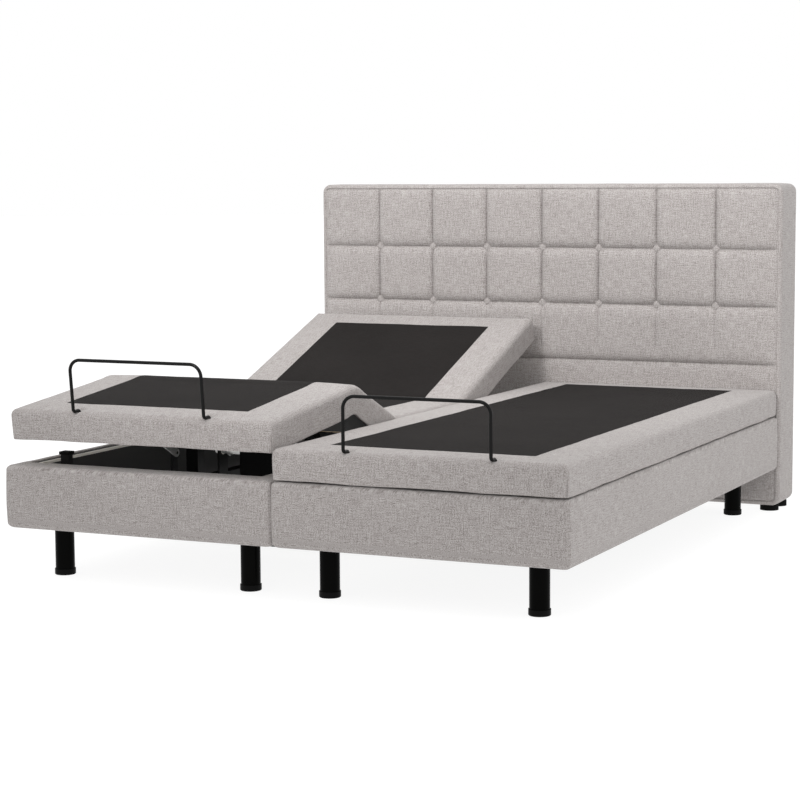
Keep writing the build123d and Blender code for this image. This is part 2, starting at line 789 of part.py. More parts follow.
# ---------------------------------------------------------------- twin drives
back_axis, leg_axis = HINGES[0][1], HINGES[1][1]
housing_y = (leg_axis[0] - HOUSING_END, back_axis[0] + HOUSING_END)
housings, motors = [], []
for base in BASES:
    low = (base.x - HOUSING_HALF, housing_y[0], HOUSING_BOTTOM + WALL)
    high = (base.x + HOUSING_HALF, housing_y[1], HOUSING_TOP)
    with BuildPart() as shell:
        with BuildSketch(Plane.XY.offset(low[2])):
            with Locations((base.x, sum(housing_y) / 2)):
                RectangleRounded(2 * HOUSING_HALF, high[1] - low[1], HOUSING_ROUND)
        extrude(amount=high[2] - low[2])
        with BuildSketch(Plane.XY.offset(low[2])):
            with Locations((base.x, sum(housing_y) / 2)):
                inside = (2 * (HOUSING_HALF - WALL), high[1] - low[1] - 2 * WALL)
                RectangleRounded(*inside, HOUSING_ROUND - WALL)
        extrude(amount=high[2] - low[2] - WALL, mode=Mode.SUBTRACT)
        for axis in (back_axis, leg_axis):
            with BuildSketch(upright(base.x)):
                with Locations(axis):
                    Circle(TORSION_R + 0.3)
            extrude(amount=HOUSING_HALF + 1, both=True, mode=Mode.SUBTRACT)
    with BuildPart() as floor:
        with BuildSketch(Plane.XY.offset(HOUSING_BOTTOM)):
            with Locations((base.x, sum(housing_y) / 2)):
                RectangleRounded(2 * HOUSING_HALF, high[1] - low[1], HOUSING_ROUND)
        extrude(amount=WALL)
    housings += [shell, floor]
    gear_low = HOUSING_BOTTOM + WALL
    for reach, gear_y, spindle_end in (
        (1, BACK_GEARBOX, back_axis[0] - LEVER * sin(radians(BACK_TRAVEL / 2)) + SPINDLE_ENDS[0]),
        (-1, LEG_GEARBOX, leg_axis[0] + LEVER * sin(radians(THIGH_TRAVEL / 2)) + SPINDLE_ENDS[1]),
    ):
        face = gear_y + reach * GEARBOX
        with BuildPart() as motor:
            with BuildSketch(Plane.XY.offset(gear_low)):
                with Locations((base.x, (gear_y + face) / 2)):
                    Rectangle(GEARBOX_WIDTH, GEARBOX)
            extrude(amount=GEARBOX_HEIGHT)
            motor_end = (base.x + reach * MOTOR_SIDE, gear_y, MOTOR_Z)
            with BuildSketch(Plane(origin=motor_end, x_dir=(1, 0, 0), z_dir=(0, -reach, 0))):
                Circle(MOTOR_R)
            extrude(amount=MOTOR_LENGTH)
            with BuildSketch(Plane(origin=(base.x, face, SPINDLE_Z), x_dir=(1, 0, 0), z_dir=(0, reach, 0))):
                Circle(SPINDLE_R)
            extrude(amount=abs(spindle_end - face))
        motors.append(motor)
write_group(solids_of(*housings), "drive_housings")
write_group(solids_of(*motors), "drive_motors")

# ---------------------------------------------------------------- headboard
HEADBOARD_MIDDLE = (HEADBOARD_TOP + HEADBOARD_BOTTOM) / 2
HEADBOARD_HEIGHT = HEADBOARD_TOP - HEADBOARD_BOTTOM
button_spots = [(BUTTON_PITCH * i, z) for i in range(-3, 4) for z in BUTTON_ROWS]


def headboard_plane(y):
    """Sketch plane facing the foot end: first axis +X, second axis +Z."""
    return Plane(origin=(0, y, 0), x_dir=(1, 0, 0), z_dir=(0, -1, 0))


def headboard_outline():
    with Locations((0, HEADBOARD_MIDDLE)):
        Rectangle(2 * HEADBOARD_HALF_WIDTH, HEADBOARD_HEIGHT)


with BuildPart() as headboard_frame:
    with BuildSketch(headboard_plane(HEADBOARD_FRONT + HEADBOARD_DEPTH)):
        headboard_outline()
    extrude(amount=HEADBOARD_DEPTH - HEADBOARD_PAD)
    fillet(headboard_frame.edges().filter_by(Axis.Y).group_by(Axis.Z)[-1], radius=HEADBOARD_CORNER)
    with BuildSketch(headboard_plane(HEADBOARD_FRONT + HEADBOARD_PAD)):
        with Locations((0, HEADBOARD_MIDDLE)):
            Rectangle(2 * (HEADBOARD_HALF_WIDTH - HEADBOARD_RAIL), HEADBOARD_HEIGHT - 2 * HEADBOARD_RAIL)
    extrude(amount=-(HEADBOARD_DEPTH - HEADBOARD_PAD - HEADBOARD_BACK), mode=Mode.SUBTRACT)
write(headboard_frame, "headboard_frame")

with BuildPart() as headboard_pad:
    with BuildSketch(headboard_plane(HEADBOARD_FRONT + HEADBOARD_PAD)):
        headboard_outline()
    extrude(amount=HEADBOARD_PAD)
    fillet(headboard_pad.edges().filter_by(Axis.Y).group_by(Axis.Z)[-1], radius=HEADBOARD_CORNER)
    with BuildSketch(headboard_plane(HEADBOARD_FRONT)):
        with Locations(*button_spots):
            Circle(BUTTON_POCKET_R)
    extrude(amount=-BUTTON_POCKET, mode=Mode.SUBTRACT)
write(headboard_pad, "headboard_pad")

with BuildPart() as headboard_buttons:
    with BuildSketch(headboard_plane(HEADBOARD_FRONT + BUTTON_POCKET)):
        with Locations(*button_spots):
            Circle(BUTTON_R)
    extrude(amount=BUTTON_DEPTH)
    fillet(headboard_buttons.edges().group_by(Axis.Y)[0], radius=4)
write(headboard_buttons, "headboard_buttons")

with BuildPart() as headboard_glides:
    with BuildSketch(Plane.XY):
        with Locations(*[(x, HEADBOARD_FRONT + y) for x in GLIDE_X for y in GLIDE_Y]):
            Circle(GLIDE_R)
    extrude(amount=HEADBOARD_BOTTOM)
write(headboard_glides, "headboard_glides")
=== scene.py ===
"""Adjustable bed base: covers, panels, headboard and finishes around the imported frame.

Metres, +Z up.  The foot end is towards -Y and the headboard towards +Y.
The left base stands partly raised and the right base lies flat.
"""
import json
from math import pi, radians

import bmesh
import bpy
import numpy as np
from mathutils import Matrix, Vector, noise


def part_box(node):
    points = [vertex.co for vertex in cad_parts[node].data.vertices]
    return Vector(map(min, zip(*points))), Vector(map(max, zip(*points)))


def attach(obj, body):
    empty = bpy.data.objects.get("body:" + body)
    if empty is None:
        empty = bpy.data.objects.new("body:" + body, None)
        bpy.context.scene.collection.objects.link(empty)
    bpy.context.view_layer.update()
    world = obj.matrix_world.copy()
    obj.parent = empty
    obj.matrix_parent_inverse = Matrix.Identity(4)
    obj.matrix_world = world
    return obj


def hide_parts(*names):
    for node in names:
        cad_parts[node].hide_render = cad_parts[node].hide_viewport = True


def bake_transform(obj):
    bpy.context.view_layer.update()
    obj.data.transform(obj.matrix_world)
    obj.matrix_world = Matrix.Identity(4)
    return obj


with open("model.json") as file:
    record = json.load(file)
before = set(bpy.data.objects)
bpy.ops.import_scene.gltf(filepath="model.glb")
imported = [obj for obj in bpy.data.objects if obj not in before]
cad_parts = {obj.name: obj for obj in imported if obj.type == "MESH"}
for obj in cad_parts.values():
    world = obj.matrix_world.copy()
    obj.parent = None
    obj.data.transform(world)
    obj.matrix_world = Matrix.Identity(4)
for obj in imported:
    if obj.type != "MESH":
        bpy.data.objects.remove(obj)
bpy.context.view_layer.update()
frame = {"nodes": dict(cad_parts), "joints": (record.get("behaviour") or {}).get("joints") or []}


# ---------------------------------------------------------------- shader arithmetic
class Shade:
    """A socket of a material; arithmetic on it adds the nodes that work it out."""

    def __init__(self, tree, socket=None):
        self.tree = tree
        self.socket = socket

    def make(self, kind, settings=None, values=None, output=0):
        """Any other node: its settings first, then the values or links of its sockets."""
        node = self.tree.nodes.new("ShaderNode" + kind)
        for name, value in (settings or {}).items():
            if name == "stops":
                ramp = node.color_ramp.elements
                while len(ramp) < len(value):
                    ramp.new(0.5)
                for element, (place, colour) in zip(ramp, value):
                    element.position = place
                    element.color = (*colour, 1)
            else:
                setattr(node, name, value)
        for key, value in (values or {}).items():
            if isinstance(value, Shade):
                self.tree.links.new(value.socket, node.inputs[key])
            else:
                node.inputs[key].default_value = value
        return Shade(self.tree, node.outputs[output])

    def maths(self, operation, *values):
        return self.make("Math", {"operation": operation}, dict(enumerate(values)))

    def __add__(self, other):
        return self.maths("ADD", self, other)

    __radd__ = __add__

    def __mul__(self, other):
        return self.maths("MULTIPLY", self, other)

    __rmul__ = __mul__

    def __sub__(self, other):
        return self.maths("SUBTRACT", self, other)

    def __rsub__(self, other):
        return self.maths("SUBTRACT", other, self)

    def clamped(self):
        return self.make("Clamp", None, {0: self})

    def sine(self):
        return self.maths("SINE", self)

    def noise(self, place, scale, detail=2.0, roughness=0.5):
        settings = {"noise_dimensions": "3D"}
        return self.make("TexNoise", settings, {
            "Vector": place, "Scale": scale, "Detail": detail, "Roughness": roughness})

    def parts(self):
        """The three components of this vector."""
        return [self.make("SeparateXYZ", None, {0: self}, i) for i in range(3)]

    def point(self, x, y, z=0.0):
        return self.make("CombineXYZ", None, {0: x, 1: y, 2: z})

    def colours(self, amount, first, second):
        """The first colour where amount is 0 and the second where it is 1."""
        return self.make("Mix", {"data_type": "RGBA"}, {0: amount, 6: first, 7: second}, 2)


def rgb(red, green, blue):
    return (red, green, blue, 1.0)


def new_material(name, fixed, varying):
    """A material with fixed values on its shader and a function that links what varies."""
    made = bpy.data.materials.new(name)
    made.use_nodes = True
    surface = made.node_tree.nodes["Principled BSDF"]
    for socket, value in fixed.items():
        surface.inputs[socket].default_value = value
    shade = Shade(made.node_tree)
    for socket, value in varying(shade).items():
        made.node_tree.links.new(value.socket, surface.inputs[socket])
    made.diffuse_color = rgb(*fixed.get("Base Color", (0.5, 0.5, 0.5))[:3])
    return made


def cloth_place(shade):
    """Place on the flat cloth in metres: across, along."""
    across, along, _ = shade.make("UVMap", {"uv_map": "cloth"}).parts()
    return across, along


def heather_weave():
    """Upholstery: slubby light grey yarn with darker and paler threads both ways."""
    thread = 0.0021
    grain_waves, yarn_waves, slub_waves = 330, 300, 28    # a metre

    def varying(shade):
        across, along = cloth_place(shade)
        grain = shade.noise(shade.point(across * grain_waves, along * grain_waves, 3.0), 1.0, 1.0)
        warp = shade.noise(shade.point(across * yarn_waves, along * slub_waves), 1.0, 2.0, 0.6)
        weft = shade.noise(shade.point(across * slub_waves, along * yarn_waves, 7.0), 1.0, 2.0, 0.6)
        drift = shade.noise(shade.point(across, along), 5.0, 2.0)
        tone = grain * 0.85 + warp * 0.42 + weft * 0.42 + drift * 0.06 - 0.375
        colour = shade.make("ValToRGB", {"stops": (
            (0.30, (0.180, 0.158, 0.150)),
            (0.43, (0.283, 0.259, 0.250)),
            (0.57, (0.362, 0.338, 0.328)),
            (0.72, (0.455, 0.432, 0.420)),
        )}, {0: tone})
        over = (across * (2 * pi / thread)).sine() * (along * (2 * pi / thread)).sine()
        height = over * 0.22 + grain * 0.50 + warp * 0.35 + weft * 0.35
        bump = shade.make("Bump", None, {"Strength": 0.38, "Distance": 0.0010, "Height": height})
        return {"Base Color": colour, "Roughness": 0.98 - 0.10 * tone, "Normal": bump}

    return new_material("heathered_weave", {
        "Base Color": rgb(0.45, 0.42, 0.40), "Specular IOR Level": 0.22,
        "Sheen Weight": 0.16, "Sheen Roughness": 0.45,
    }, varying)


def nonslip_cloth():
    """Matt black cloth with a fine rib and a faint dusty bloom."""
    rib = 0.0026

    def varying(shade):
        across, along = cloth_place(shade)
        grain = shade.noise(shade.point(across * 300, along * 300), 1.0, 2.0)
        streak = shade.noise(shade.point(across * 30, along * 260), 1.0, 2.0)
        bloom = shade.noise(shade.point(across, along), 3.5, 2.0)
        amount = (grain * 0.5 + streak * 0.4 + bloom * 0.3 - 0.15).clamped()
        colour = shade.colours(amount, rgb(0.0045, 0.0040, 0.0038), rgb(0.0290, 0.0255, 0.0245))
        ribs = (along * (2 * pi / rib)).sine() * 0.5 + (across * (2 * pi / rib)).sine() * 0.4
        bump = shade.make("Bump", None, {
            "Strength": 0.5, "Distance": 0.0006, "Height": ribs + grain})
        return {"Base Color": colour, "Roughness": 0.72 + 0.2 * grain, "Normal": bump}

    return new_material("nonslip_cloth", {
        "Base Color": rgb(0.03, 0.028, 0.027), "Specular IOR Level": 0.04,
        "Sheen Weight": 0.02, "Sheen Roughness": 0.4,
    }, varying)


def object_place(shade):
    """Place on the piece itself, in metres."""
    return shade.make("TexCoord", None, None, 3)


def coated(name, colour, roughness, peel, dust, gloss):
    """Painted or powder-coated metal: orange peel in the skin, dust that dulls the gloss."""

    def varying(shade):
        place = object_place(shade)
        skin = shade.noise(place, peel, 2.0)
        dusty = shade.noise(place, 9.0, 4.0, 0.6)
        tint = shade.colours((dusty * 1.6 - 0.6).clamped(), rgb(*colour),
                             rgb(*(c + dust for c in colour)))
        bump = shade.make("Bump", None, {"Strength": 0.22, "Distance": 0.0004, "Height": skin})
        return {"Base Color": tint, "Roughness": roughness + 0.18 * (dusty - 0.5),
                "Normal": bump}

    return new_material(name, {
        "Base Color": rgb(*colour), "Specular IOR Level": gloss,
    }, varying)


def zinc_plate():
    """Bright plated steel with faint drawn lines and duller patches."""

    def varying(shade):
        place = object_place(shade)
        x, y, z = place.parts()
        drawn = shade.noise(shade.point(x * 900, y * 40, z * 900), 1.0, 2.0)
        patch = shade.noise(place, 22.0, 3.0, 0.6)
        tint = shade.colours(patch, rgb(0.56, 0.56, 0.55), rgb(0.72, 0.72, 0.70))
        bump = shade.make("Bump", None, {"Strength": 0.15, "Distance": 0.0003, "Height": drawn})
        return {"Base Color": tint, "Roughness": 0.26 + 0.2 * patch, "Normal": bump}

    return new_material("zinc_plate", {"Base Color": rgb(0.65, 0.65, 0.64), "Metallic": 1.0},
                        varying)


def moulded(name, colour, roughness, grain_scale, depth, gloss):
    """Moulded plastic or rubber with a spark-eroded grain."""

    def varying(shade):
        place = object_place(shade)
        grain = shade.noise(place, grain_scale, 2.0)
        wear = shade.noise(place, 14.0, 4.0, 0.65)
        tint = shade.colours(wear, rgb(*(c * 0.8 for c in colour)), rgb(*(c * 1.2 for c in colour)))
        bump = shade.make("Bump", None, {"Strength": 0.3, "Distance": depth, "Height": grain})
        return {"Base Color": tint, "Roughness": roughness + 0.15 * (wear - 0.5),
                "Normal": bump}

    return new_material(name, {"Base Color": rgb(*colour), "Specular IOR Level": gloss}, varying)


def timber(name, dark, pale, grain):
    """Sawn wood whose grain runs along the bed."""

    def varying(shade):
        x, y, z = object_place(shade).parts()
        wander = shade.noise(shade.point(x * 4, y * 1.2, z * 4), 1.0, 3.0)
        rings = ((x * grain + z * grain * 0.8 + wander * 9.0)).sine() * 0.5 + 0.5
        fibre = shade.noise(shade.point(x * 700, y * 18, z * 700), 1.0, 3.0, 0.6)
        tint = shade.colours((rings * 0.45 + fibre * 0.6).clamped(), rgb(*dark), rgb(*pale))
        bump = shade.make("Bump", None, {"Strength": 0.35, "Distance": 0.0005, "Height": fibre})
        return {"Base Color": tint, "Roughness": 0.58 + 0.25 * fibre, "Normal": bump}

    return new_material(name, {"Base Color": rgb(*pale)}, varying)


def black_lining():
    """Non-woven lining cloth under the deck and inside the rails."""

    def varying(shade):
        place = object_place(shade)
        x, y, z = place.parts()
        fibres = shade.noise(place, 420.0, 3.0, 0.7)
        dimples = ((x + z) * 1500).sine() * (y * 1500).sine()
        tint = shade.colours(fibres, rgb(0.008, 0.008, 0.008), rgb(0.030, 0.029, 0.028))
        bump = shade.make("Bump", None, {
            "Strength": 0.4, "Distance": 0.0005, "Height": dimples * 0.4 + fibres})
        return {"Base Color": tint, "Roughness": 0.8 + 0.15 * fibres, "Normal": bump}

    return new_material("black_lining", {"Base Color": rgb(0.018, 0.018, 0.018)}, varying)


FABRIC = heather_weave()
NONSLIP = nonslip_cloth()
LINING = black_lining()
FRAME_COAT = coated("black_powder_coat", (0.005, 0.005, 0.005), 0.45, 900, 0.004, 0.10)
BAR_COAT = coated("satin_black_bar", (0.004, 0.004, 0.004), 0.30, 700, 0.003, 0.12)
LEG_PAINT = coated("gloss_black_leg", (0.0010, 0.0010, 0.0008), 0.22, 260, 0.001, 0.03)
ZINC = zinc_plate()
BLACK_PLASTIC = moulded("black_plastic", (0.003, 0.003, 0.003), 0.46, 1100, 0.0003, 0.06)
NYLON = moulded("white_nylon", (0.62, 0.60, 0.55), 0.38, 600, 0.0002, 0.5)
RUBBER = moulded("black_rubber", (0.003, 0.003, 0.003), 0.68, 800, 0.0004, 0.06)
BATTEN = timber("pale_batten", (0.66, 0.62, 0.55), (0.84, 0.82, 0.77), 240)
PLYWOOD = timber("birch_ply", (0.42, 0.31, 0.19), (0.62, 0.50, 0.34), 170)

FINISHES = {
    "headboard_glides": RUBBER, "joining_plates": FRAME_COAT, "legs": LEG_PAINT,
    "leg_caps": BLACK_PLASTIC, "frame_tubes": FRAME_COAT, "frame_posts": FRAME_COAT,
    "rest_pads": RUBBER, "rail_liners": LINING, "ledge_battens": BATTEN,
    "tube_bushes": NYLON, "hinge_brackets": FRAME_COAT, "drive_housings": BLACK_PLASTIC,
    "drive_motors": BLACK_PLASTIC, "board": PLYWOOD, "irons": FRAME_COAT,
    "retainer_bar": BAR_COAT, "lift": ZINC, "lift_shoes": NYLON, "slider": ZINC,
    "foot_links": ZINC,
}


def give_finishes():
    """Every node of the frame takes the finish of its own name or of its name's last words."""
    for name, node in frame["nodes"].items():
        plain = name.removesuffix("_left").removesuffix("_right")
        finish = FINISHES.get(plain) or FINISHES.get(plain.split("_", 1)[-1])
        if finish:
            node.data.materials.clear()
            node.data.materials.append(finish)


# ---------------------------------------------------------------- places read from the frame
JOINTS = {joint["name"]: joint for joint in frame["joints"]}
DECK_LOW, DECK_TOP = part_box("seat_pad_right")[0].z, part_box("seat_pad_right")[1].z
DECK_FOOT, DECK_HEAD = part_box("foot_pad_right")[0].y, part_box("back_pad_right")[1].y
HINGE_FOOT = JOINTS["right_thigh_tilt"]["pos_m"][1]
HINGE_HEAD = JOINTS["right_back_tilt"]["pos_m"][1]
KNEE = JOINTS["right_knee_fold"]["pos_m"][1]
MID_SEAT = (HINGE_FOOT + HINGE_HEAD) / 2
MID_THIGH = (HINGE_FOOT + KNEE) / 2
DECK_MID_HEIGHT = (DECK_LOW + DECK_TOP) / 2

# soft deck
DECK_ROUND = 0.020        # rounded top edges
DECK_CORNER = 0.009       # tight vertical corners, where the cover is seamed
SKIRT = 0.0135
PANEL_INSET = 0.129
PANEL_INSET_FOOT = 0.101
PANEL_INSET_HEAD = 0.098
PANEL_THICK = 0.0022
MODELLED_FOLD = {"back": 0.100, "thigh": 0.080, "knee": 0.110}
MOVING_FOLD = {"back": 0.170, "thigh": 0.120, "knee": 0.090}
COARSE = 0.015


def smooth(amount):
    amount = np.clip(amount, 0, 1)
    return amount * amount * (3 - 2 * amount)


def wander(points, scale, seed):
    """Soft unevenness from -1 to 1 at each point; scale is in waves a metre."""
    shift = Vector((seed * 13.7, seed * 5.1, seed * 9.3))
    return np.array([noise.noise(Vector(p) * scale + shift) for p in points])


def turn(points, pivot, degrees, start, end):
    """Turns points about a crosswise axis: none of the angle at y = start, all of it at end."""
    share = smooth((points[:, 1] - start) / (end - start))
    angle = radians(degrees) * share
    y, z = points[:, 1] - pivot[0], points[:, 2] - pivot[1]
    turned = points.copy()
    turned[:, 1] = pivot[0] + y * np.cos(angle) - z * np.sin(angle)
    turned[:, 2] = pivot[1] + y * np.sin(angle) + z * np.cos(angle)
    return turned


class Deck:
    """One base's deck: its place across the bed and the angles that it stands at."""

    def __init__(self, name):
        self.name = name
        low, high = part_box(f"seat_pad_{name}")
        self.low, self.high = low.x, high.x
        self.middle = (low.x + high.x) / 2
        self.back, self.thigh, self.knee = (
            -round(JOINTS[f"{name}_{joint}"]["range_deg"][0])
            for joint in ("back_tilt", "thigh_tilt", "knee_fold"))

    def folded(self, points):
        """Where points of the flat deck are with this base standing as it does."""
        half = {fold: reach / 2 for fold, reach in MODELLED_FOLD.items()}
        points = turn(points, (KNEE, DECK_LOW), self.knee, KNEE + half["knee"], KNEE - half["knee"])
        points = turn(points, (HINGE_FOOT, DECK_LOW), -self.thigh,
                      HINGE_FOOT + half["thigh"], HINGE_FOOT - half["thigh"])
        return turn(points, (HINGE_HEAD, DECK_LOW), self.back,
                    HINGE_HEAD - half["back"], HINGE_HEAD + half["back"])

    def spot(self, y):
        """A point at mid height of the deck, where it stands."""
        return tuple(self.folded(np.array([[self.middle, y, DECK_MID_HEIGHT]]))[0])

    def pieces(self):
        """The three lengths of cover: name, flat ends, bodies, fold that they cross."""
        return (
            ("back", MID_SEAT, DECK_HEAD, "root", f"{self.name}_back", HINGE_HEAD, 1),
            ("thigh", MID_THIGH, MID_SEAT, "root", f"{self.name}_thigh", HINGE_FOOT, -1),
            ("foot", DECK_FOOT, MID_THIGH, f"{self.name}_thigh", f"{self.name}_foot", KNEE, -1),
        )

    def bend(self, piece, fold, first, second, hinge, way):
        reach = MOVING_FOLD["knee" if fold == "foot" else fold] / 2
        self.spot(hinge - way * reach)
        self.spot(hinge + way * reach)
        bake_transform(piece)


DECKS = (Deck("left"), Deck("right"))


# ---------------------------------------------------------------- meshes
def divisions(low, high, step, marks=(), near=()):
    """Grid lines from low to high, closer together round each mark."""
    count = max(1, round((high - low) / step))
    fine = [m + side * d for m in marks for d in near for side in (-1, 1)] + list(marks)
    fine = [f for f in fine if low < f < high]
    coarse = [low + (high - low) * i / count for i in range(1, count)]
    reach = max(near) + step / 2 if near else step / 4
    coarse = [c for c in coarse if all(abs(c - m) > reach for m in marks)]
    lines = sorted([low, high, *coarse, *fine])
    kept = [lines[0]]
    for line in lines[1:-1]:
        if line - kept[-1] > 0.0009 and high - line > 0.0009:
            kept.append(line)
    return kept + [lines[-1]]


def lattice(xs, ys, zs, faces):
    """Points and quads on chosen faces of a divided box, and the axis that each quad faces."""
    lines, number, points, quads, axes = (xs, ys, zs), {}, [], [], []

    def corner(key):
        if key not in number:
            number[key] = len(points)
            points.append([lines[axis][key[axis]] for axis in range(3)])
        return number[key]

    for axis, outward in faces:
        b, c = (axis + 1) % 3, (axis + 2) % 3
        for i in range(len(lines[b]) - 1):
            for j in range(len(lines[c]) - 1):
                ring = []
                for di, dj in ((0, 0), (1, 0), (1, 1), (0, 1)):
                    key = [0, 0, 0]
                    key[axis] = len(lines[axis]) - 1 if outward > 0 else 0
                    key[b], key[c] = i + di, j + dj
                    ring.append(corner(tuple(key)))
                quads.append(ring if outward > 0 else ring[::-1])
                axes.append(axis)
    return np.array(points), quads, axes


def piece_from(name, points, quads, axes, flat, material):
    """A mesh object whose cloth runs true: UVs in metres from the flat places."""
    mesh = bpy.data.meshes.new(name)
    mesh.from_pydata(points.tolist(), [], quads)
    cloth = mesh.uv_layers.new(name="cloth")
    seen = ((1, 2), (0, 2), (0, 1))
    places = [(flat[v][seen[axis][0]], flat[v][seen[axis][1]])
              for quad, axis in zip(quads, axes) for v in quad]
    cloth.data.foreach_set("uv", np.array(places, np.float32).ravel())
    mesh.materials.append(material)
    mesh.shade_smooth()
    made = bpy.data.objects.new(name, mesh)
    bpy.context.scene.collection.objects.link(made)
    return made


def settle(piece, crease=40):
    """Applies the modifiers and keeps edges sharper than crease degrees crisp."""
    evaluated = piece.evaluated_get(bpy.context.evaluated_depsgraph_get())
    made = bpy.data.meshes.new_from_object(evaluated)
    piece.modifiers.clear()
    piece.data = made
    made.set_sharp_from_angle(angle=radians(crease))


def plan_rounding(points, low, high, radius):
    """Pulls the vertical corners of a rectangle in plan to a radius."""
    centre = np.clip(points[:, :2], np.array(low) + radius, np.array(high) - radius)
    out = points[:, :2] - centre
    long_side = np.abs(out).max(1)
    length = np.maximum(np.linalg.norm(out, axis=1), 1e-9)
    rounded = points.copy()
    rounded[:, :2] = centre + out * (long_side / length)[:, None]
    return rounded


def way_in(points, low, high, radius):
    """Distance in from a rounded rectangle in plan, and the direction in."""
    low, high = np.array(low), np.array(high)
    centre = np.clip(points[:, :2], low + radius, high - radius)
    out = points[:, :2] - centre
    length = np.linalg.norm(out, axis=1)
    sides = np.stack([points[:, 0] - low[0], high[0] - points[:, 0],
                      points[:, 1] - low[1], high[1] - points[:, 1]])
    inward = np.array([(1, 0), (-1, 0), (0, 1), (0, -1)], float)[sides.argmin(0)]
    at_edge = length > 1e-9
    distance = np.where(at_edge, radius - length, sides.min(0))
    inward[at_edge] = -out[at_edge] / length[at_edge, None]
    return distance, inward


def edge_rounding(points, low, high, corner, level, radius, up):
    """Rounds the edge where the walls meet the face at z = level; up is +1 for a top face."""
    distance, inward = way_in(points, low, high, corner)
    across = np.clip(radius - distance, 0, radius)
    rise = np.clip(radius - up * (level - points[:, 2]), 0, radius)
    length = np.maximum(np.hypot(across, rise), 1e-9)
    share = np.maximum(across, rise) / length
    touched = (across > 0) & (rise > 0)
    share = np.where(touched, share, 1)
    rounded = points.copy()
    rounded[:, :2] += inward * (across * (1 - share))[:, None]
    rounded[:, 2] -= up * rise * (1 - share)
    return rounded


DECK_HEM_ROUND = 0.0045
BELLY, BELLY_ROUGH, BELLY_FINE = 0.0018, 0.0012, 0.0006   # soft walls of the deck
CROWN_RISE, CROWN_RUN = 0.003, 0.12
HEM_ROUGH, HEM_FINE = 0.0026, 0.0010
DIMPLE, DIMPLE_REACH = 0.0075, 0.017                      # where the bar's hooks go in
CORNER_SEAM, CORNER_PULL = 0.004, 0.0032


def deck_shape(points, deck):
    """Flat deck cover: rounded edges, a low crown, soft sides and dimples at the bar's feet."""
    low, high = (deck.low, DECK_FOOT), (deck.high, DECK_HEAD)
    flat = points
    points = plan_rounding(points, low, high, DECK_CORNER)
    points = edge_rounding(points, low, high, DECK_CORNER, DECK_TOP, DECK_ROUND, 1)
    points = edge_rounding(points, low, high, DECK_CORNER, DECK_LOW, DECK_HEM_ROUND, -1)
    distance, inward = way_in(points, low, high, DECK_CORNER)
    height = (points[:, 2] - DECK_LOW) / (DECK_TOP - DECK_LOW)
    wall = (distance < DECK_ROUND) & (height < 0.93)
    belly = np.where(wall, np.sin(np.clip(height, 0, 1) * pi), 0)
    rough = wander(flat, 7.0, 1 + len(deck.name))
    fine = wander(flat, 24.0, 3 + len(deck.name))
    points[:, :2] -= inward * (belly * (BELLY + BELLY_ROUGH * rough + BELLY_FINE * fine))[:, None]
    top = height > 0.99
    crown = smooth(distance / CROWN_RUN) * CROWN_RISE + rough * 0.0010 + fine * 0.0005
    points[:, 2] += np.where(top, crown, 0)
    hem = np.clip(1 - height / 0.3, 0, 1)
    points[:, 2] += hem * wall * (HEM_ROUGH * rough + HEM_FINE * fine)
    for x in (deck.middle - BAR_HALF, deck.middle + BAR_HALF):
        reach = np.hypot(points[:, 0] - x, np.maximum(points[:, 1] - BAR_FOOT_Y, 0))
        points[:, 2] -= np.where(height > 0.6, DIMPLE * np.exp(-(reach / DIMPLE_REACH) ** 2), 0)
    beside = np.abs(flat[:, 0] - deck.middle) - (deck.high - deck.low) / 2
    beyond = np.maximum(DECK_FOOT - flat[:, 1], flat[:, 1] - DECK_HEAD)
    seam = np.minimum(np.maximum(beside + CORNER_SEAM, 0), np.maximum(beyond + CORNER_SEAM, 0)) / CORNER_SEAM
    seam = seam * smooth((0.70 - height) / 0.25)
    points[:, :2] += inward * (CORNER_PULL * seam)[:, None]
    return points


BAR_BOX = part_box("retainer_bar_right")
BAR_RADIUS = 0.005
BAR_HALF = (BAR_BOX[1].x - BAR_BOX[0].x) / 2 - BAR_RADIUS
BAR_FOOT_Y = BAR_BOX[1].y - BAR_RADIUS
NEAR_CORNER = (0.0035, 0.007, 0.011, 0.016, 0.022)
NEAR_FOLD = (*NEAR_CORNER, 0.029, 0.037, 0.046, 0.056)
NEAR_RIM = (0.0015, 0.003, 0.0045, 0.008, 0.012, 0.016, 0.020)


def deck_cover(deck, fold, start, end, first, second, hinge, way):
    """One length of padded cover: top, side skirts and the skirt at a free end."""
    closed = [(0, -1), (0, 1), (2, 1)]
    if start == DECK_FOOT:
        closed.append((1, -1))
    if end == DECK_HEAD:
        closed.append((1, 1))
    xs = divisions(deck.low, deck.high, COARSE, (deck.low, deck.high, deck.middle - BAR_HALF,
                                                 deck.middle + BAR_HALF), NEAR_CORNER)
    ys = divisions(start, end, COARSE, (hinge, DECK_FOOT, DECK_HEAD, BAR_FOOT_Y), NEAR_FOLD)
    zs = divisions(DECK_LOW, DECK_TOP, 0.009, (DECK_TOP, DECK_LOW), NEAR_RIM)
    flat, quads, axes = lattice(xs, ys, zs, closed)
    shaped = deck.folded(deck_shape(flat, deck))
    cover = piece_from(f"{deck.name}_{fold}_cover", shaped, quads, axes, flat, FABRIC)
    thickness = cover.modifiers.new("skirt", "SOLIDIFY")
    thickness.thickness = SKIRT
    thickness.offset = -1
    settle(cover)
    deck.bend(cover, fold, first, second, hinge, way)
    stands_for = {"back": ("seat_pad", "back_pad"), "thigh": ("thigh_pad", "seat_pad"),
                  "foot": ("foot_pad", "thigh_pad")}[fold]
    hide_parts(*(f"{pad}_{deck.name}" for pad in stands_for))


PANEL_PUFF = 0.0010
PANEL_HEM = 0.0004        # the panel's edge lies this far under the cover


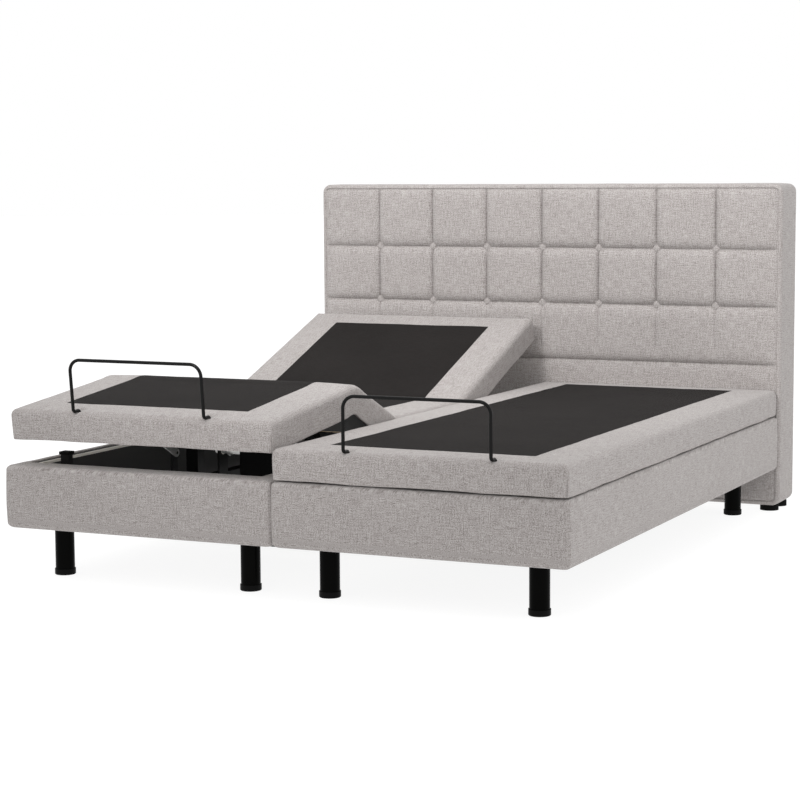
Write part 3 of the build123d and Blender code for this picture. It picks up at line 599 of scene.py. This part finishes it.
def deck_panel(deck, fold, start, end, first, second, hinge, way):
    """One length of the black panel, let into the top of the cover."""
    low = (deck.low + PANEL_INSET, DECK_FOOT + PANEL_INSET_FOOT)
    high = (deck.high - PANEL_INSET, DECK_HEAD - PANEL_INSET_HEAD)
    start, end = max(start, low[1]), min(end, high[1])
    near = (0.002, 0.005, 0.009, 0.014, 0.020, 0.028, 0.037, 0.046, 0.056)
    xs = divisions(low[0], high[0], COARSE, (low[0], high[0]), near[:5])
    ys = divisions(start, end, COARSE, (hinge, low[1], high[1]), near)
    faces = [(0, -1), (0, 1), (2, 1), (2, -1), (1, -1), (1, 1)]
    flat, quads, axes = lattice(xs, ys, (DECK_TOP - PANEL_THICK, DECK_TOP), faces)
    shaped = deck_shape(flat, deck)
    surface = deck_shape(np.column_stack([flat[:, :2], np.full(len(flat), DECK_TOP)]), deck)
    distance, _ = way_in(flat, low, high, 0.004)
    upper = flat[:, 2] > DECK_TOP - PANEL_THICK / 2
    puff = PANEL_PUFF * smooth(distance / 0.008) - PANEL_HEM
    shaped[:, 2] = surface[:, 2] + np.where(upper, puff, -PANEL_THICK)
    panel = piece_from(f"{deck.name}_{fold}_panel", deck.folded(shaped), quads, axes, flat, NONSLIP)
    panel.data.set_sharp_from_angle(angle=radians(50))
    deck.bend(panel, fold, first, second, hinge, way)


# ---------------------------------------------------------------- box round each base
BOX_CORNER = 0.010
BOX_TOP_ROUND = 0.012
BOX_LOW_ROUND = 0.017
BOX_HOLE_ROUND = 0.005    # where the cover turns over the inner edge
BOX_BELLY, BOX_ROUGH, BOX_FINE = 0.0022, 0.0014, 0.0006
BOX_SEAM, BOX_SEAM_PULL = 0.005, 0.0028


def rectangle(low, high, radius, counts, grow):
    """A loop round a rectangle in plan, grown outwards, with the same stations at any size."""
    x0, y0, x1, y1 = low[0] - grow, low[1] - grow, high[0] + grow, high[1] + grow
    corners = ((x0, y0), (x1, y0), (x1, y1), (x0, y1))
    loop, flat = [], []
    travelled = 0.0
    for side in range(4):
        a, b = np.array(corners[side]), np.array(corners[(side + 1) % 4])
        length = np.linalg.norm(b - a)
        fine = np.array([0.0, 0.003, 0.006, 0.010])
        places = np.concatenate([fine, np.linspace(0.02, length - 0.02, counts[side % 2]),
                                 length - fine[:0:-1]])
        for place in places:
            loop.append(a + (b - a) * place / length)
            flat.append(travelled + place)
        travelled += length
    loop = np.array(loop)
    if radius > 0:
        padded = np.column_stack([loop, np.zeros(len(loop))])
        loop = plan_rounding(padded, (x0, y0), (x1, y1), radius)[:, :2]
    return loop, np.array(flat)


def box_cover(name):
    """The padded ring of rails round one base, with its cover drawn over top and bottom."""
    foot_low, foot_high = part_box(f"foot_rail_{name}")
    side_low, side_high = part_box(f"outer_rail_{name}")
    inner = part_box("inner_rails")
    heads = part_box("head_rails")
    left = name == "left"
    low = (foot_low.x, foot_low.y)
    high = (foot_high.x, heads[1].y)
    outer_wall = side_high.x - side_low.x
    inner_wall = (inner[1].x - inner[0].x) / 2 - abs(foot_low.x if not left else foot_high.x)
    hole_low = (low[0] + (outer_wall if left else inner_wall), foot_high.y)
    hole_high = (high[0] - (inner_wall if left else outer_wall), heads[0].y)
    bottom, top = foot_low.z, foot_high.z
    counts = (60, 130)
    rings, heights, along = [], [], []

    def ring(low_xy, high_xy, grow, z, radius, drawn):
        loop, flat = rectangle(low_xy, high_xy, radius, counts, grow)
        rings.append(loop)
        heights.append(z)
        along.append((flat, drawn))

    arc = np.linspace(0, pi / 2, 6)
    drawn = 0.0
    for a in arc[::-1]:
        ring(low, high, -BOX_LOW_ROUND * (1 - np.cos(a)), bottom + BOX_LOW_ROUND * (1 - np.sin(a)),
             BOX_CORNER, drawn)
        drawn += 0.004
    for z in np.linspace(bottom + BOX_LOW_ROUND, top - BOX_TOP_ROUND, 14)[1:-1]:
        ring(low, high, 0, z, BOX_CORNER, z)
    for a in arc:
        ring(low, high, -BOX_TOP_ROUND * (1 - np.cos(a)), top - BOX_TOP_ROUND * (1 - np.sin(a)),
             BOX_CORNER, top + 0.003 * a)
    for share in (0.2, 0.4, 0.6, 0.8):
        outer, flat = rectangle(low, high, BOX_CORNER, counts, -BOX_TOP_ROUND)
        hole, _ = rectangle(hole_low, hole_high, 0, counts, BOX_HOLE_ROUND)
        rings.append(outer + (hole - outer) * share)
        heights.append(top)
        along.append((flat, top + 0.02 + 0.06 * share))
    for a in arc[::-1]:
        ring(hole_low, hole_high, BOX_HOLE_ROUND * (1 - np.cos(a)),
             top - BOX_HOLE_ROUND * (1 - np.sin(a)), 0, top + 0.09)
    for z in np.linspace(top - BOX_HOLE_ROUND, bottom + 0.002, 8)[1:]:
        ring(hole_low, hole_high, 0, z, 0, top + 0.1 + top - z)
    for share in (0.7, 0.35):
        outer, flat = rectangle(low, high, BOX_CORNER, counts, -BOX_LOW_ROUND)
        hole, _ = rectangle(hole_low, hole_high, 0, counts, 0)
        rings.append(outer + (hole - outer) * share)
        heights.append(bottom)
        along.append((flat, 0.1 * share))
    stations = len(rings[0])
    points = np.array([(x, y, z) for loop, z in zip(rings, heights) for x, y in loop])
    flat = np.array([(f, d, 0) for run, d in along for f in run])
    quads = []
    for r in range(len(rings)):
        for s in range(stations):
            t, q = (s + 1) % stations, (r + 1) % len(rings)
            quads.append([r * stations + s, r * stations + t, q * stations + t, q * stations + s])
    distance, inward = way_in(points, low, high, BOX_CORNER)
    height = np.clip((points[:, 2] - bottom) / (top - bottom), 0, 1)
    wall = distance < 0.004
    rough = wander(points, 5.0, 21 if left else 22)
    fine = wander(points, 21.0, 23)
    points[:, :2] -= inward * np.where(
        wall, np.sin(height * pi) * (BOX_BELLY + BOX_ROUGH * rough) + BOX_FINE * fine, 0)[:, None]
    points[:, 2] += np.where(height > 0.99, 0.0010 * rough + 0.0006 * fine + 0.0008, 0)
    beside = np.minimum(points[:, 0] - low[0], high[0] - points[:, 0])
    before = np.minimum(points[:, 1] - low[1], high[1] - points[:, 1])
    seam = np.clip(1 - np.maximum(beside, before) / BOX_SEAM, 0, 1) * wall
    points[:, :2] += inward * (BOX_SEAM_PULL * seam)[:, None]
    cover = piece_from(f"{name}_box_cover", points, quads, [2] * len(quads), flat, FABRIC)
    settle(cover, 50)
    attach(cover, "root")
    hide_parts(f"foot_rail_{name}", f"outer_rail_{name}", "inner_rails", "head_rails")


# ---------------------------------------------------------------- headboard
PAD_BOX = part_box("headboard_pad")
SHELL_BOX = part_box("headboard_frame")
BUTTON_PITCH = 0.2215
BUTTON_ROWS = (0.727, 0.931)
TUFT_COLUMNS = [i * BUTTON_PITCH for i in range(-3, 4)]
FOOT_SEAM = 0.521
EDGE_SEAM = 0.016
SEAM_DEPTH = 0.0085
CROWN = 0.0165
SEAM_REACH = 0.011
TUFT_DEPTH, TUFT_REACH = 0.0085, 0.019
FOLD_PULL, FOLD_AT, FOLD_REACH = 0.0007, 0.03, 0.018      # small folds round each button
HEADBOARD_CORNER = 0.030
HEADBOARD_FRONT_ROUND, HEADBOARD_BACK_ROUND = 0.013, 0.010
RIM_GROOVE, RIM_GROOVE_REACH = 0.0016, 0.0022


def rise_from(distance, reach):
    """How far the stuffing has risen at a distance from a sewn line: 0 at the line, 1 away."""
    return 1 - np.exp(-np.abs(distance) / reach)


def tufting(x, z):
    """Height of the headboard's face over the depth of its seams."""
    top_seam = SHELL_BOX[1].z - EDGE_SEAM
    rows = (*BUTTON_ROWS, FOOT_SEAM)
    row_gap = np.min([np.abs(z - r) for r in rows], axis=0)
    column_gap = np.min([np.abs(x - c) for c in TUFT_COLUMNS], axis=0)
    faint = smooth((BUTTON_ROWS[0] - z) / 0.03) * 0.55
    sewn = smooth((z - FOOT_SEAM - 0.012) / 0.05) * (1 - faint)
    over_rows = rise_from(row_gap, SEAM_REACH)
    over_columns = 1 - sewn * (1 - rise_from(column_gap, SEAM_REACH * 0.8))
    plain = smooth((FOOT_SEAM - z) / 0.01)
    height = CROWN * over_rows * over_columns * (1 - 0.35 * plain)
    edge = np.minimum(SHELL_BOX[1].x - EDGE_SEAM - np.abs(x), top_seam - z)
    height = height * (0.55 + 0.45 * rise_from(np.maximum(edge, 0), 0.02))
    for column in TUFT_COLUMNS:
        for row in BUTTON_ROWS:
            reach = np.hypot(x - column, z - row)
            angle = np.arctan2(z - row, x - column)
            folds = np.cos(8 * angle + column * 40 + row * 9)
            pull = folds * FOLD_PULL * np.exp(-((reach - FOLD_AT) / FOLD_REACH) ** 2)
            height = height - TUFT_DEPTH * np.exp(-(reach / TUFT_REACH) ** 2) + pull
    return height


def headboard():
    """Tufted front, boxed edges and plain back as one padded shell."""
    half, low, top = SHELL_BOX[1].x, SHELL_BOX[0].z, SHELL_BOX[1].z
    front, back = PAD_BOX[0].y, SHELL_BOX[1].y
    near = (0.0018, 0.004, 0.007, 0.011, 0.016, 0.023)
    rims = (0.002, 0.005, 0.009, 0.013, 0.0145, 0.016, 0.0175, 0.020, 0.025)
    edges_x = sorted({side * (half - r) for r in rims for side in (-1, 1)})
    edges_z = [low + r for r in rims] + [top - r for r in rims]
    xs = divisions(-half, half, 0.0125, TUFT_COLUMNS, near)
    zs = divisions(low, top, 0.0125, (*BUTTON_ROWS, FOOT_SEAM), near)
    inside = HEADBOARD_CORNER                          # the rims have their own lines
    xs = sorted({*[x for x in xs if abs(x) < half - inside], *edges_x, -half, half})
    zs = sorted({*[z for z in zs if low + inside < z < top - inside], *edges_z, low, top})
    ys = divisions(front, back, 0.014, (front, back), (0.002, 0.005, 0.009, 0.012, 0.016))
    flat, quads, axes = lattice(xs, ys, zs, [(0, -1), (0, 1), (1, -1), (1, 1), (2, -1), (2, 1)])
    upright = flat[:, (0, 2, 1)]                        # the outline is in x and z
    outline_low, outline_high = (-half, low), (half, top)
    corner = HEADBOARD_CORNER
    shaped = plan_rounding(upright, outline_low, outline_high, corner)
    shaped = edge_rounding(shaped, outline_low, outline_high, corner, front, HEADBOARD_FRONT_ROUND, -1)
    shaped = edge_rounding(shaped, outline_low, outline_high, corner, back, HEADBOARD_BACK_ROUND, 1)
    distance, inward = way_in(shaped, outline_low, outline_high, corner)
    is_front = flat[:, 1] <= front + 1e-6
    face = is_front & (distance > EDGE_SEAM - 0.002)
    height = tufting(shaped[:, 0], shaped[:, 1])
    rough, fine = wander(flat, 6.0, 31), wander(flat, 26.0, 32)
    ramp = smooth((distance - EDGE_SEAM) / 0.006)
    shaped[:, 2] += np.where(face, SEAM_DEPTH - height * ramp + 0.0006 * rough + 0.0004 * fine, 0) \
        * np.where(face, 0.3 + 0.7 * ramp, 0)
    along_top = is_front * (inward[:, 1] < -0.5)
    groove = np.exp(-((distance - EDGE_SEAM) / RIM_GROOVE_REACH) ** 2) * along_top
    shaped[:, 2] += groove * RIM_GROOVE
    belly = np.sin(np.clip((shaped[:, 2] - front) / (back - front), 0, 1) * pi)
    wall = distance < 0.002
    shaped[:, :2] -= inward * np.where(wall, belly * (0.0015 + 0.0012 * rough), 0)[:, None]
    points = shaped[:, (0, 2, 1)]
    cover = piece_from("headboard_cover", points, quads, axes, flat, FABRIC)
    settle(cover, 60)
    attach(cover, "root")
    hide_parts("headboard_pad", "headboard_frame")


BUTTON_DOME = 0.0095
BUTTON_RADIUS = 0.0160
BUTTON_STEM = 0.009


def covered_button(number, x, z):
    """A domed button in the same cloth, drawn into its tuft."""
    low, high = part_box("headboard_buttons")
    front, thick = low.y, high.y - low.y
    rings, spokes = 9, 32
    points, flat = [], []
    for r in range(rings):
        angle = pi / 2 * r / (rings - 1)
        for s in range(spokes):
            around = 2 * pi * s / spokes
            reach = BUTTON_RADIUS * np.sin(angle) * (1 + 0.015 * np.cos(3 * around + number))
            points.append((x + reach * np.cos(around), front + BUTTON_DOME * (1 - np.cos(angle) ** 0.8),
                           z + reach * np.sin(around)))
            flat.append((reach * np.cos(around) + number, 0, reach * np.sin(around)))
    for s in range(spokes):
        around = 2 * pi * s / spokes
        points.append((x + BUTTON_STEM * np.cos(around), front + thick, z + BUTTON_STEM * np.sin(around)))
        flat.append((0.02 * np.cos(around), 0, 0.02 * np.sin(around)))
    quads = []
    for r in range(rings):
        for s in range(spokes):
            t = (s + 1) % spokes
            quads.append([r * spokes + s, (r + 1) * spokes + s, (r + 1) * spokes + t, r * spokes + t])
    quads.append([rings * spokes + s for s in range(spokes)])
    button = piece_from(f"headboard_button_{number:02d}", np.array(points), quads,
                        [1] * len(quads), flat, FABRIC)
    weld(button)
    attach(button, "root")
    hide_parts("headboard_buttons")


def weld(piece):
    """Joins points that lie on each other and turns every face outwards."""
    mesh = bmesh.new()
    mesh.from_mesh(piece.data)
    bmesh.ops.remove_doubles(mesh, verts=mesh.verts, dist=1e-6)
    bmesh.ops.recalc_face_normals(mesh, faces=mesh.faces)
    mesh.to_mesh(piece.data)
    mesh.free()


# ---------------------------------------------------------------- small cloth parts
REST_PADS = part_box("rest_pads")
PAD_REACH = 0.12
BOARD_UNDER = 0.030
LINING_THICK, LINING_GAP, LINING_SAG = 0.0010, 0.0002, 0.002
SEAT_TRIM, SWING_TRIM = 0.045, 0.022                      # short of the hinges


def board_lining(name, section):
    """Black lining stapled under one deck board, slack between its edges."""
    deck = DECKS[0] if name == "left" else DECKS[1]
    spans = {"seat": (HINGE_FOOT, HINGE_HEAD), "back": (HINGE_HEAD, DECK_HEAD - SKIRT),
             "thigh": (KNEE, HINGE_FOOT), "foot": (DECK_FOOT + SKIRT, KNEE)}
    trim = SEAT_TRIM if section == "seat" else SWING_TRIM
    start, end = (spans[section][0] + trim, spans[section][1] - trim)
    under = DECK_LOW + BOARD_UNDER
    xs = divisions(deck.low + SKIRT + 0.002, deck.high - SKIRT - 0.002, 0.03)
    ys = divisions(start, end, 0.03)
    faces = [(axis, way) for axis in range(3) for way in (-1, 1)]
    flat, quads, axes = lattice(xs, ys, (under - LINING_GAP - LINING_THICK, under - LINING_GAP), faces)
    sag = wander(flat, 9.0, 41) * 0.5 + 0.5
    edge = np.minimum(np.minimum(flat[:, 0] - xs[0], xs[-1] - flat[:, 0]),
                      np.minimum(flat[:, 1] - ys[0], ys[-1] - flat[:, 1]))
    shaped = flat.copy()
    shaped[:, 2] -= LINING_SAG * sag * smooth(edge / 0.05)
    beside = np.minimum(flat[:, 0] - deck.low, deck.high - flat[:, 0]) < PAD_REACH
    over = np.minimum(np.abs(flat[:, 1] - REST_PADS[0].y), np.abs(flat[:, 1] - REST_PADS[1].y)) < PAD_REACH
    shaped[:, 2] += np.where(beside & over, 0.006, 0)  # let into the board near a rest pad
    rigid = {"seat": (0, 0, 0), "back": (0, 0, deck.back), "thigh": (0, -deck.thigh, 0),
             "foot": (deck.knee, -deck.thigh, 0)}[section]
    shaped = whole_turn(shaped, (KNEE, DECK_LOW), rigid[0])
    shaped = whole_turn(shaped, (HINGE_FOOT, DECK_LOW), rigid[1])
    shaped = whole_turn(shaped, (HINGE_HEAD, DECK_LOW), rigid[2])
    lining = piece_from(f"{name}_{section}_lining", shaped, quads, axes, flat, LINING)
    lining.data.set_sharp_from_angle(angle=radians(50))
    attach(lining, "root" if section == "seat" else f"{name}_{section}")


def whole_turn(points, pivot, degrees):
    """Turns points about a crosswise axis as one rigid piece."""
    angle = radians(degrees)
    y, z = points[:, 1] - pivot[0], points[:, 2] - pivot[1]
    return np.column_stack([points[:, 0], pivot[0] + y * np.cos(angle) - z * np.sin(angle),
                            pivot[1] + y * np.sin(angle) + z * np.cos(angle)])


TAB_ACROSS, TAB_ALONG = 0.329, 0.092   # from the base's middle line and from the foot end
TAB_HALF, TAB_THICK = 0.038, 0.0064
TAB_DROP, TAB_SEWN = 0.020, 0.028      # below and above the deck's lower edge


def locating_tab(deck):
    """Padded tab under the foot section's inner corner, in the same cloth."""
    out = -1 if deck.name == "left" else 1
    middle = deck.middle - out * TAB_ACROSS
    y = DECK_FOOT + TAB_ALONG
    low, high = (middle - TAB_HALF, y - TAB_THICK / 2), (middle + TAB_HALF, y + TAB_THICK / 2)
    xs = divisions(low[0], high[0], 0.006)
    ys = (low[1], y, high[1])
    zs = divisions(DECK_LOW - TAB_DROP, DECK_LOW + TAB_SEWN, 0.004)
    faces = [(axis, way) for axis in range(3) for way in (-1, 1)]
    flat, quads, axes = lattice(xs, ys, zs, faces)
    upright = flat[:, (0, 2, 1)]
    outline = ((low[0], zs[0]), (high[0], zs[-1] + 0.02))
    shaped = plan_rounding(upright, *outline, 0.012)
    shaped[:, 2] = y + (shaped[:, 2] - y) * 0.8
    points = shaped[:, (0, 2, 1)]
    points = whole_turn(points, (KNEE, DECK_LOW), deck.knee)
    points = whole_turn(points, (HINGE_FOOT, DECK_LOW), -deck.thigh)
    tab = piece_from(f"{deck.name}_locating_tab", points, quads, axes, flat, FABRIC)
    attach(tab, f"{deck.name}_foot")
    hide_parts(f"foot_pad_{deck.name}")


# ---------------------------------------------------------------- stage, light and camera
def stage():
    """A wide pale floor under an even white sky."""
    bpy.ops.mesh.primitive_circle_add(vertices=96, radius=60, fill_type="NGON")
    floor = bpy.context.object
    floor.name = "studio_floor"

    def varying(shade):
        speck = shade.noise(object_place(shade), 40.0, 2.0)
        return {"Base Color": shade.colours(speck, rgb(0.14, 0.14, 0.14), rgb(0.16, 0.16, 0.16))}

    floor.data.materials.append(new_material("pale_floor", {
        "Roughness": 0.9, "Emission Color": rgb(1, 1, 1), "Emission Strength": 0.90}, varying))
    world = bpy.data.worlds.new("studio")
    world.use_nodes = True
    sky = world.node_tree.nodes["Background"].inputs
    sky["Color"].default_value = rgb(1, 1, 1)
    sky["Strength"].default_value = 1.0
    bpy.context.scene.world = world
    bpy.context.scene.view_settings.view_transform = "Standard"


def soft_light(name, place, aim, size, watts):
    """A rectangular lamp at a place, turned to its aim."""
    data = bpy.data.lights.new(name, "AREA")
    data.shape, data.size, data.size_y, data.energy = "RECTANGLE", *size, watts
    light = bpy.data.objects.new(name, data)
    light.location = place
    light.rotation_euler = (Vector(aim) - Vector(place)).to_track_quat("-Z", "Y").to_euler()
    bpy.context.scene.collection.objects.link(light)


def headboard_lamp():
    """A soft cone that lifts the headboard's face without touching the rails' fronts."""
    data = bpy.data.lights.new("headboard_lamp", "SPOT")
    data.energy, data.shadow_soft_size = 860, 0.5
    data.spot_size, data.spot_blend = radians(29), 0.7
    lamp = bpy.data.objects.new("headboard_lamp", data)
    lamp.location = (-0.5, -5.0, 3.2)
    aim = Vector((0.0, HINGE_HEAD + 0.73, 0.85)) - Vector(lamp.location)
    lamp.rotation_euler = aim.to_track_quat("-Z", "Y").to_euler()
    bpy.context.scene.collection.objects.link(lamp)


def camera():
    """Low three-quarter view from the right of the foot end."""
    data = bpy.data.cameras.new("view")
    data.sensor_width = 36
    data.lens = 94.49
    data.shift_x, data.shift_y = -0.0375, -0.0125
    view = bpy.data.objects.new("view", data)
    view.location = (2.8302, -6.2960, 1.1916)
    view.rotation_euler = (radians(84.209), radians(0.258), radians(24.350))
    bpy.context.scene.collection.objects.link(view)
    bpy.context.scene.camera = view


give_finishes()
for deck in DECKS:
    for piece in deck.pieces():
        deck_cover(deck, *piece)
        deck_panel(deck, *piece)
    locating_tab(deck)
for side in ("left", "right"):
    box_cover(side)
    for section in ("seat", "back", "thigh", "foot"):
        board_lining(side, section)
headboard()
for number, (row, column) in enumerate((r, c) for r in BUTTON_ROWS for c in TUFT_COLUMNS):
    covered_button(number + 1, column, row)
stage()
soft_light("overhead", (0.2, -0.5, 3.2), (0.1, 0.4, 0.4), (3.2, 2.0), 33)
soft_light("side", (4.2, -1.0, 2.2), (0.5, -0.2, 0.4), (2.0, 2.0), 20)
headboard_lamp()
camera()
